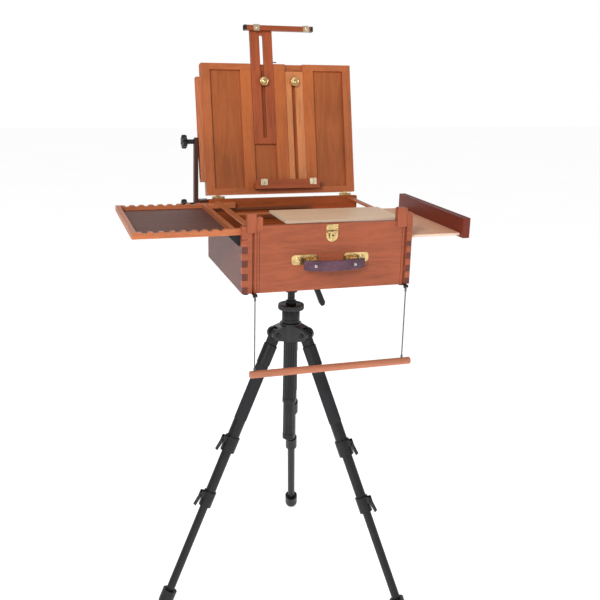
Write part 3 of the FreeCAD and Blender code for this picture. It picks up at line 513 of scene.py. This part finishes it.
WOODS = {
    "box_front_board": wood("front_board_wood", COLOURS["front"], "X", 0.3),
    "box_rear_board": wood("rear_board_wood", COLOURS["rear"], "X", 5.1),
    # Painted shade: both side boards use the darker side colour.
    "box_left_board": wood("left_board_wood", COLOURS["side"], "Y", 1.9),
    "box_right_board": wood("right_board_wood", COLOURS["side"], "Y", 8.4),
    "box_bottom_panel": wood("bottom_panel_wood", COLOURS["inside"], "X", 2.2, contrast=0.6),
    "corner_blocks": wood("corner_block_wood", scaled(COLOURS["front"], 1.05), "Z", 6.3),
    # Painted shade: the runners below the rim are darkened to 0.35 inside the box.
    "inner_rails": wood("inner_rail_wood", COLOURS["rail"], "X", 3.3, contrast=0.6,
                        zone=shaded_below_rim, zone_shade=0.35),
    "lid_frame": wood("lid_frame_wood", COLOURS["stile"], "X", 4.4, True,
                      zone=lid_stiles, zone_along="Z"),
    # Painted shade: the recessed panel face is darkened to 0.8 of the raised guides.
    "lid_panel": wood("lid_panel_wood", scaled(COLOURS["panel"], 1.2), "Z", 7.7, True,
                      zone=lid_panel_face, zone_shade=0.8),
    "lid_side_track": wood("side_track_wood", COLOURS["rail"], "Z", 9.2, True),
    "mast": wood("mast_wood", COLOURS["mast"], "Z", 1.1, True),
    "upper_holder": wood("holder_wood", scaled(COLOURS["mast"], 0.85), "X", 2.8, True),
    "ledge_slide": wood("slide_wood", COLOURS["slide"], "Z", 3.9, True),
    "canvas_ledge": wood("ledge_wood", COLOURS["mast"], "X", 5.6, True),
    "left_tray_frame": wood("left_tray_rail_wood", COLOURS["rail"], "Y", 6.6,
                            zone=tray_ends, zone_along="X"),
    "left_tray_floor": wood("left_tray_floor_wood", COLOURS["floor"], "X", 0.9, contrast=0.7,
                            roughness=0.62, coat=0.0),
    "right_tray_board": wood("right_tray_board_wood", COLOURS["wing"], "Y", 2.5, contrast=0.45, ply=True),
    "right_tray_fence": wood("right_tray_fence_wood", COLOURS["fence"], "Y", 4.8),
    "palette": wood("palette_wood", COLOURS["palette"], "X", 7.1, contrast=0.35, figure=0.7, ply=True),
    "strut_arm": wood("strut_wood", COLOURS["dark"], "Z", 8.8),
    "strut_block": wood("strut_block_wood", COLOURS["dark"], "Z", 9.9),
}
BRASS = metal("brass", (0.83, 0.60, 0.28, 1), 0.2)
STEEL = metal("grey_steel", (0.50, 0.50, 0.50, 1), 0.28)
WIRE_STEEL = metal("wire_steel", (0.16, 0.16, 0.17, 1), 0.4)
PALE_BRASS = metal("clip_brass", (0.90, 0.76, 0.52, 1), 0.24)
DARK_STEEL = moulded("dark_steel", (0.020, 0.020, 0.021, 1), 0.4, 2600.0, 0.15, metallic=0.5)
BLACK = moulded("black_plastic", (0.014, 0.014, 0.015, 1), 0.34, 2200.0, 0.25)
TUBE = tube_finish("black_tube", (0.022, 0.022, 0.023, 1))
FOAM = moulded("grip_foam", (0.024, 0.024, 0.027, 1), 0.8, 3200.0, 0.7, 0.3)
RUBBER = moulded("rubber", (0.02, 0.02, 0.02, 1), 0.7, 2600.0, 0.5, 0.3)
LEATHER = leather_finish("leather", srgb(94, 58, 76))
THREAD = moulded("thread", srgb(120, 92, 98), 0.75, 4000.0, 0.8, 0.3)
TOWEL_WOOD = wood("towel_bar_wood", COLOURS["towel"], "X", 4.1, contrast=0.7)


# ---- CAD nodes that stay -------------------------------------------------------------------------
def soften(name, material, width):
    """Rounded edges and a procedural material on a CAD node."""
    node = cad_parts[name]
    node.data.materials.clear()
    node.data.materials.append(material)
    weld = node.modifiers.new("weld", "WELD")
    weld.merge_threshold = 0.00001
    rounding = node.modifiers.new("rounding", "BEVEL")
    rounding.width = width / 1000
    rounding.segments = 2
    rounding.limit_method = "ANGLE"
    rounding.angle_limit = math.radians(40)
    rounding.use_clamp_overlap = True
    rounding.harden_normals = False
    normals = node.modifiers.new("normals", "WEIGHTED_NORMAL")
    normals.keep_sharp = True


for name, material in WOODS.items():
    soften(name, material, 0.7)
for name in ("box_brackets", "mount_plate", "pan_lever"):
    soften(name, DARK_STEEL, 0.4)
for name in ("hinge_box_leaves", "hinge_lid_leaves"):
    soften(name, BRASS, 0.3)
soften("lid_catch", DARK_STEEL, 0.3)
soften("leg_bolts", DARK_STEEL, 0.8)
soften("tripod_hub", BLACK, 2.2)
for leg in LEGS:
    for part_name in ("upper", "middle", "lower"):
        soften("leg_%s_%s" % (leg, part_name), TUBE, 0.5)
    for part_name in ("upper_lever", "middle_lever"):
        soften("leg_%s_%s" % (leg, part_name), BLACK, 0.8)


# ---- towel bar and its wires ---------------------------------------------------------------------
def wire(name, x):
    """One taut wire: a smooth curve through the route's points."""
    points = [(x, TOWEL_Y, WIRE_TOP), (x, TOWEL_Y, 754.0), (x, TOWEL_Y, WIRE_FOOT)]
    curve = bpy.data.curves.new(name, "CURVE")
    curve.dimensions = "3D"
    curve.bevel_depth = WIRE_RADIUS / 1000
    curve.bevel_resolution = 4
    curve.use_fill_caps = True
    spline = curve.splines.new("NURBS")
    spline.points.add(len(points) - 1)
    for control, point in zip(spline.points, points):
        control.co = (*at(*point), 1.0)
    spline.order_u = 3
    spline.use_endpoint_u = True
    curve.materials.append(WIRE_STEEL)
    made = bpy.data.objects.new(name + "_cord", curve)
    bpy.context.scene.collection.objects.link(made)
    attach(made, "towel")
    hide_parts(name)


for name, x in zip(("towel_wire_left", "towel_wire_right"), WIRE_X):
    wire(name, x)

start, end, radius = TOWEL_BAR
length = end - start
mesh = bmesh.new()
lathe(mesh, place(start, TOWEL_Y, WIRE_FOOT - radius) @ TO_RIGHT,
      [(0, 0), (radius - 2.2, 0), (radius - 0.8, 0.6), (radius, 2.2), (radius, length - 2.2),
       (radius - 0.8, length - 0.6), (radius - 2.2, length), (0, length)], 40)
piece("towel_rod", mesh, TOWEL_WOOD, "towel", ["towel_bar"])
mesh = bmesh.new()
for x in WIRE_X:
    for foot in (WIRE_FOOT - 1.5, WIRE_TOP - 9.0):
        lathe(mesh, place(x, TOWEL_Y, foot),
              [(0, 0), (2.5, 0), (2.8, 0.5), (2.8, 2.4), (2.4, 3.0), (2.4, 5.4), (2.8, 6.0),
               (2.8, 7.6), (2.3, 8.4), (0, 8.4)], 20)
piece("wire_ferrules", mesh, WIRE_STEEL, "towel")


# ---- latch ---------------------------------------------------------------------------------------
latch_face = place(LATCH[0], FRONT, LATCH[1]) @ TO_FRONT   # x right, y up, z towards the painter
mesh = bmesh.new()
shield = []
for step in range(13):
    angle = math.radians(180 + 180 * step / 12)
    shield.append((13.8 * math.cos(angle), -9 + 13.8 * math.sin(angle)))
plate(mesh, latch_face, [(13.8, 16.5), (-13.8, 16.5)] + shield, 0, 1.4, 0.5)
bar(mesh, latch_face, (25, 5, 2.6), (0, 14, 2.4), 0.8)
for x in (-12.0, 7.0):
    lathe(mesh, latch_face @ shift(x, 0, 5) @ TO_RIGHT,
          [(1.6, 0), (2.7, 0), (3, 0.4), (3, 4.6), (2.7, 5), (1.6, 5)], 24)
    bar(mesh, latch_face, (5, 3.4, 3.2), (x + 2.5, 0, 2.4), 0.4)
for x, y in ((-9.5, 9.0), (9.5, 9.0), (0, -19.0)):
    screw_head(mesh, latch_face @ shift(x, y, 1.4), 2.4, 1.3)
piece("latch_case", mesh, BRASS, "box", ["latch_plate"])

mesh = bmesh.new()
hasp = [(6, 1.5), (-6, 1.5), (-6.6, -8)]
for step in range(9):
    angle = math.radians(200 + 140 * step / 8)
    hasp.append((6.6 * math.cos(angle), -11 + 6.4 * math.sin(angle)))
hasp.append((6.6, -8))
plate(mesh, latch_face, hasp, 4.4, 6.2, 0.6)
lathe(mesh, latch_face @ shift(-6.5, 0, 5) @ TO_RIGHT,
      [(0, 0), (2.8, 0), (3, 0.3), (3, 12.7), (2.8, 13), (0, 13)], 24)
lathe(mesh, latch_face @ shift(-12, 0, 5) @ TO_RIGHT, [(0, 0), (1.5, 0), (1.5, 24), (0, 24)], 16)
lathe(mesh, latch_face @ shift(0, -8, 5.9),
      [(4.2, 0), (4.2, 0.7), (3.4, 1.1), (2.2, 1.0), (1.9, 0.3), (0, 0.3)], 28)
piece("latch_hasp", mesh, BRASS, "latch", ["latch_lever"])


# ---- handle --------------------------------------------------------------------------------------
mesh = bmesh.new()
for side in (-1, 1):
    seat = place(HANDLE[0] + side * PLATE_SPREAD, FRONT, HANDLE[2]) @ TO_FRONT
    plate(mesh, seat, rounded_rectangle(60, 22, 7), 0, 1.5, 0.6)
    dome = place(HANDLE[0] + side * DOME_SPREAD, FRONT, HANDLE[2]) @ TO_FRONT
    lathe(mesh, dome, [(5.5, 1.3), (5.5, 1.9), (5.1, 2.8), (4.0, 3.5), (2.2, 3.9), (0, 4.0)], 32)
    for x in (-12.0, 7.0):
        post = place(HANDLE[0] + side * PIN_SPREAD + x, FRONT, HANDLE[2]) @ TO_FRONT
        lathe(mesh, post @ shift(0, 0, 9) @ TO_RIGHT,
              [(2.05, 0), (3.9, 0), (4.4, 0.5), (4.4, 4.5), (3.9, 5), (2.05, 5)], 28)
        bar(mesh, post, (5, 7.5, 7.5), (2.5, 0, 4.4), 0.5)
piece("handle_brackets", mesh, BRASS, "box", ["handle_fittings"])

handle_frame = place(*HANDLE) @ turn("X", HANDLE_DROOP)
sagitta = STRAP["bow"] - STRAP["thick"] - STRAP["end"]
inner_radius = (STRAP["half"] ** 2 + sagitta ** 2) / (2 * sagitta)
strap_middle = STRAP["rise"] - STRAP["tall"] / 2


def strap_point(x, depth, height):
    """A point of the strap: depth outward from its inner face, height up its face."""
    reach = math.sqrt((inner_radius + depth) ** 2 - x * x) - inner_radius
    outward = STRAP["bow"] - STRAP["thick"] + reach
    return handle_frame @ mm(x + STRAP["shift"], -outward, height + strap_middle)


def aimed(start, end):
    """Axes at the start, with +Z towards the end."""
    return Matrix.Translation(start) @ (end - start).to_track_quat("Z", "Y").to_matrix().to_4x4()


mesh = bmesh.new()
section = rounded_rectangle(STRAP["thick"] - 0.1, STRAP["tall"] - 0.6, 1.9, 4)
columns = []
steps = 44
for index in range(steps + 1):
    x = STRAP["half"] * math.sin(math.pi / 2 * (2 * index / steps - 1))
    squeeze = 1 - 0.16 * (abs(x) / STRAP["half"]) ** 12
    ring = []
    for depth, height in section:
        swell = 1 + 0.10 * math.cos(math.pi * height / STRAP["tall"]) * (1 if depth > 0 else 0)
        spot = strap_point(x, STRAP["thick"] / 2 + depth * swell * 0.92, height * squeeze)
        ring.append(mesh.verts.new(spot))
    columns.append(ring)
for left, right in zip(columns, columns[1:]):
    for index in range(len(section)):
        following = (index + 1) % len(section)
        mesh.faces.new([left[index], left[following], right[following], right[index]])
mesh.faces.new(columns[0])
mesh.faces.new(columns[-1][::-1])
piece("handle_strap", mesh, LEATHER, "handle", ["leather_handle"], 60)

mesh = bmesh.new()
for side in (-1, 1):
    for height in (-9.9, 9.9):
        for index in range(11):
            x = side * (index * 6.0 + 3.0)
            centre = strap_point(x, STRAP["thick"] - 0.05, height)
            ahead = strap_point(x + 1, STRAP["thick"] - 0.05, height)
            lathe(mesh, aimed(centre, ahead),
                  [(0, -2.1), (0.35, -1.9), (0.5, -1.0), (0.52, 0), (0.5, 1.0), (0.35, 1.9), (0, 2.1)], 8)
piece("handle_stitches", mesh, THREAD, "handle")

mesh = bmesh.new()
for x in (-46.0, 46.0):
    base = strap_point(x, STRAP["thick"] - 0.5, 0)
    lathe(mesh, aimed(base, strap_point(x, STRAP["thick"] + 0.5, 0)),
          [(0, 0), (3.8, 0), (3.9, 0.5), (3.3, 1.2), (2.0, 1.8), (0, 2.0)], 28)
piece("handle_rivets", mesh, STEEL, "handle")

mesh = bmesh.new()
for x in (-PIN_SPREAD, PIN_SPREAD):
    centre = handle_frame @ shift(x, 0, 0)
    lathe(mesh, centre @ shift(-12.5, 0, 0) @ TO_RIGHT,
          [(0, 0), (1.7, 0), (2, 0.3), (2, 24.7), (1.7, 25), (0, 25)], 20)
    lathe(mesh, centre @ shift(-6, 0, 0) @ TO_RIGHT,
          [(0, 0), (3.6, 0), (4, 0.4), (4, 11.6), (3.6, 12), (0, 12)], 28)
    bar(mesh, centre, (11.6, 14, 7), (0, -7.5, -0.3), 1.0)
piece("handle_links", mesh, BRASS, "handle")


# ---- clips, caps and knobs on the lid ------------------------------------------------------------
def folded_clip(mesh, x, width, front, reach, low, high):
    """A folded brass clip with a screw, on the front of a canvas holder."""
    seat = LID @ shift(x, front, (low + high) / 2) @ TO_FRONT
    plate(mesh, seat, rounded_rectangle(width, high - low, 2.5), 0, 1.4, 0.4)
    bar(mesh, LID, (width - 1, reach, 1.4), (x, front + reach / 2, high - 0.75), 0.4)
    screw_head(mesh, seat @ shift(0, -1, 1.3), 2.7, 1.2)


mesh = bmesh.new()
for x in CLIP_X:
    folded_clip(mesh, x, 16, MAST_FACE - 14, 12, MAST_TOP - HOLDER_TALL - 2, MAST_TOP + 1.5)
piece("holder_clips", mesh, PALE_BRASS, "mast", ["upper_clips"])
mesh = bmesh.new()
for x in CLIP_X:
    folded_clip(mesh, x, 18, LEDGE_BACK - 20, 9, 27, 43)
piece("canvas_clips", mesh, PALE_BRASS, "ledge", ["ledge_clips"])

mesh = bmesh.new()
cap_size = (HOLDER_CAP, 13.8, HOLDER_TALL - 0.2)
for x in (HOLDER[0] + HOLDER_CAP / 2, HOLDER[1] - HOLDER_CAP / 2):
    bar(mesh, LID, cap_size, (x, MAST_FACE - 7, MAST_TOP - HOLDER_TALL / 2), 1.2, 3)
piece("holder_caps", mesh, BLACK, "mast")


def brass_knob(name, x):
    """A knurled thumb knob on its washer."""
    mesh = bmesh.new()
    seat = LID @ shift(x, MAST_FACE - 0.3, KNOB_HEIGHT) @ TO_FRONT
    lathe(mesh, seat, [(0, 0), (8.6, 0), (9, 0.4), (9, 1.1), (8.6, 1.5), (0, 1.5)], 36)
    lathe(mesh, seat, [(0, 1.4), (4.6, 1.4), (4.6, 4.2), (9.6, 4.2), (10.8, 4.6), (11.7, 5.4, True),
                       (11.9, 6, True), (11.9, 10.6, True), (11.7, 11.3, True), (10.6, 12.3), (9.6, 12.6),
                       (8.4, 12.1), (4.4, 12.1), (3.6, 12.7), (0, 12.9)], 144, 36, 0.075)
    lathe(mesh, seat, [(0, 0), (3.4, 0), (3.4, -14.8), (0, -14.8)], 20)
    piece(name + "_knurled", mesh, BRASS, name, [name])


for name, x in KNOB_X.items():
    brass_knob(name, x)


# ---- strut knobs ---------------------------------------------------------------------------------
def star_knob(name, body, radius, position, screw):
    """A six-lobed knob with its stem and screw along +X."""
    mesh = bmesh.new()
    seat = place(*position) @ TO_RIGHT
    lathe(mesh, seat, [(0, 0.9), (radius * 0.3, 0.9), (radius * 0.36, 0), (radius * 0.74, 0, True),
                       (radius * 0.9, 0.7, True), (radius * 0.985, 2.4, True), (radius, 4.6, True),
                       (radius, 9.4, True), (radius * 0.98, 11.4, True), (radius * 0.88, 13.2, True),
                       (radius * 0.7, 14, True), (radius * 0.42, 14), (6, 15.6), (6, 31), (0, 31)],
          96, 6, 0.24)
    lathe(mesh, seat, [(0, 14), (3.9, 14), (3.9, 14 + screw), (0, 14 + screw)], 20)
    piece(name + "_grip", mesh, BLACK, body, [name])


tilt = math.radians(LID_TILT)
strut_x, strut_up, strut_back = STRUT_PIN
strut_top = (strut_x,
             HINGE[1] + strut_up * math.sin(tilt) + strut_back * math.cos(tilt),
             HINGE[2] + strut_up * math.cos(tilt) - strut_back * math.sin(tilt))
star_knob("star_knob_upper", "upper_knob", 17.5, strut_top, 24)
star_knob("star_knob_lower", "lower_knob", 15.0, LOWER_KNOB, 48)


# ---- feet and screws of the box ------------------------------------------------------------------
mesh = bmesh.new()
for x in (-FEET[0], FEET[0]):
    for y in (-FEET[1], FEET[1]):
        lathe(mesh, place(x, y, BOX_BOTTOM - 6),
              [(2.4, 1.6), (3.4, 0.2), (6.2, 0), (7.0, 0.8), (7.2, 2.6), (7.9, 3.0), (8.4, 5.2),
               (8.4, 6)], 28)
piece("foot_bumpers", mesh, RUBBER, "box", ["rubber_feet"])

mesh = bmesh.new()
hinge_x, screw_dx = HINGE_SCREWS
for x in (-hinge_x - screw_dx, -hinge_x + screw_dx, hinge_x - screw_dx, hinge_x + screw_dx):
    screw_head(mesh, place(x, 184.5, 980.0) @ TO_BACK, 2.6, 1.2)
piece("hinge_screws", mesh, BRASS, "box")


# ---- tripod details ------------------------------------------------------------------------------
for leg, azimuth in LEGS.items():
    down = on_leg(azimuth) @ turn("X", 180)
    mesh = bmesh.new()
    lathe(mesh, down, [(14.6, 84), (15.5, 85), (15.8, 87), (15.8, 230), (15.4, 232), (14.6, 233)], 40,
          closed=True)
    piece("leg_%s_grip" % leg, mesh, FOAM, "leg_%s_upper" % leg)

axis = place(TRIPOD_X, 0, 0)
mesh = bmesh.new()
lathe(mesh, axis, [(12.4, 400), (12.4, 398), (14.6, 398), (15.5, 399), (15.5, 411), (14.6, 412), (14.6, 413),
                   (15.4, 414, True), (15.4, 496, True), (15.5, 498), (16.6, 498), (17.5, 499.5), (17.5, 510),
                   (17.4, 511, True), (17.4, 700, True), (17.4, 713.4), (21.6, 713.4), (22.2, 714.2),
                   (22.2, 722), (21.4, 722.6), (21.4, 724), (22.2, 724.6), (22.2, 744), (21.0, 746.2),
                   (13, 746.2), (13, 769.4), (9.4, 769.4), (9.4, 760)], 120, 10, 0.09)
piece("column_fluted", mesh, TUBE, "column", ["centre_column"])

mesh = bmesh.new()
lathe(mesh, axis, [(13.4, 747), (29.5, 747), (31.6, 748.2), (32.3, 749.6, True), (32.4, 751, True),
                   (32.4, 757, True), (32.3, 758.4, True), (31.4, 760), (29, 760.9), (24, 761), (22.6, 759.8),
                   (13.4, 759.8)], 192, 32, 0.045, closed=True)
piece("lock_disc_knurled", mesh, BLACK, "lock_disc", ["lock_disc"])


# ---- floor, light and camera ---------------------------------------------------------------------
def pale_floor():
    material, tree, shader = surface("studio_floor")
    texture = noise(tree, object_coords(tree), 2.0, 4.0, 0.6)
    tree.links.new(ramp(tree, texture, [(0.3, (0.90, 0.90, 0.90, 1)), (0.7, (0.94, 0.94, 0.94, 1))]),
                   shader.inputs["Base Color"])
    shader.inputs["Roughness"].default_value = 0.9
    shader.inputs["Specular IOR Level"].default_value = 0.1
    shader.inputs["Emission Color"].default_value = (1, 1, 1, 1)
    shader.inputs["Emission Strength"].default_value = 0.66
    data = bpy.data.meshes.new("floor")
    grid = bmesh.new()
    bmesh.ops.create_grid(grid, x_segments=8, y_segments=8, size=14)
    grid.to_mesh(data)
    grid.free()
    data.materials.append(material)
    floor = bpy.data.objects.new("floor", data)
    floor.location.z = -0.0005
    bpy.context.scene.collection.objects.link(floor)


def softbox(name, position, target, size, power):
    light = bpy.data.lights.new(name, "AREA")
    light.size = size
    light.energy = power
    lamp = bpy.data.objects.new(name, light)
    bpy.context.scene.collection.objects.link(lamp)
    lamp.location = position
    lamp.rotation_euler = (Vector(target) - Vector(position)).to_track_quat("-Z", "Y").to_euler()


pale_floor()
softbox("key", (-1.9, -2.5, 2.5), (0.0, 0.0, 1.0), 0.9, 66)
softbox("fill", (1.9, -2.6, 1.7), (0.0, 0.0, 0.9), 2.0, 12)
softbox("back", (0.4, 2.4, 2.6), (0.0, 0.0, 1.0), 1.6, 16)

world = bpy.data.worlds.new("studio")
world.use_nodes = True
tree = world.node_tree
sky = tree.nodes["Background"]
ray = add(tree, "LightPath").outputs["Is Camera Ray"]
tree.links.new(spread(tree, ray, 0.0, 1.0, 0.34, 1.0), sky.inputs["Strength"])
sky.inputs["Color"].default_value = (1, 1, 1, 1)
bpy.context.scene.world = world
bpy.context.scene.view_settings.view_transform = "Standard"

lens = bpy.data.cameras.new("camera")
lens.lens = 50.22
lens.sensor_width = 36.0
lens.clip_end = 60.0
camera = bpy.data.objects.new("camera", lens)
bpy.context.scene.collection.objects.link(camera)
camera.matrix_world = (Matrix.Translation((-0.5775, -1.928, 1.350)) @ turn("Z", -17.91)
                       @ turn("X", 90 - 16.27) @ turn("Z", 1.35))
bpy.context.scene.camera = camera
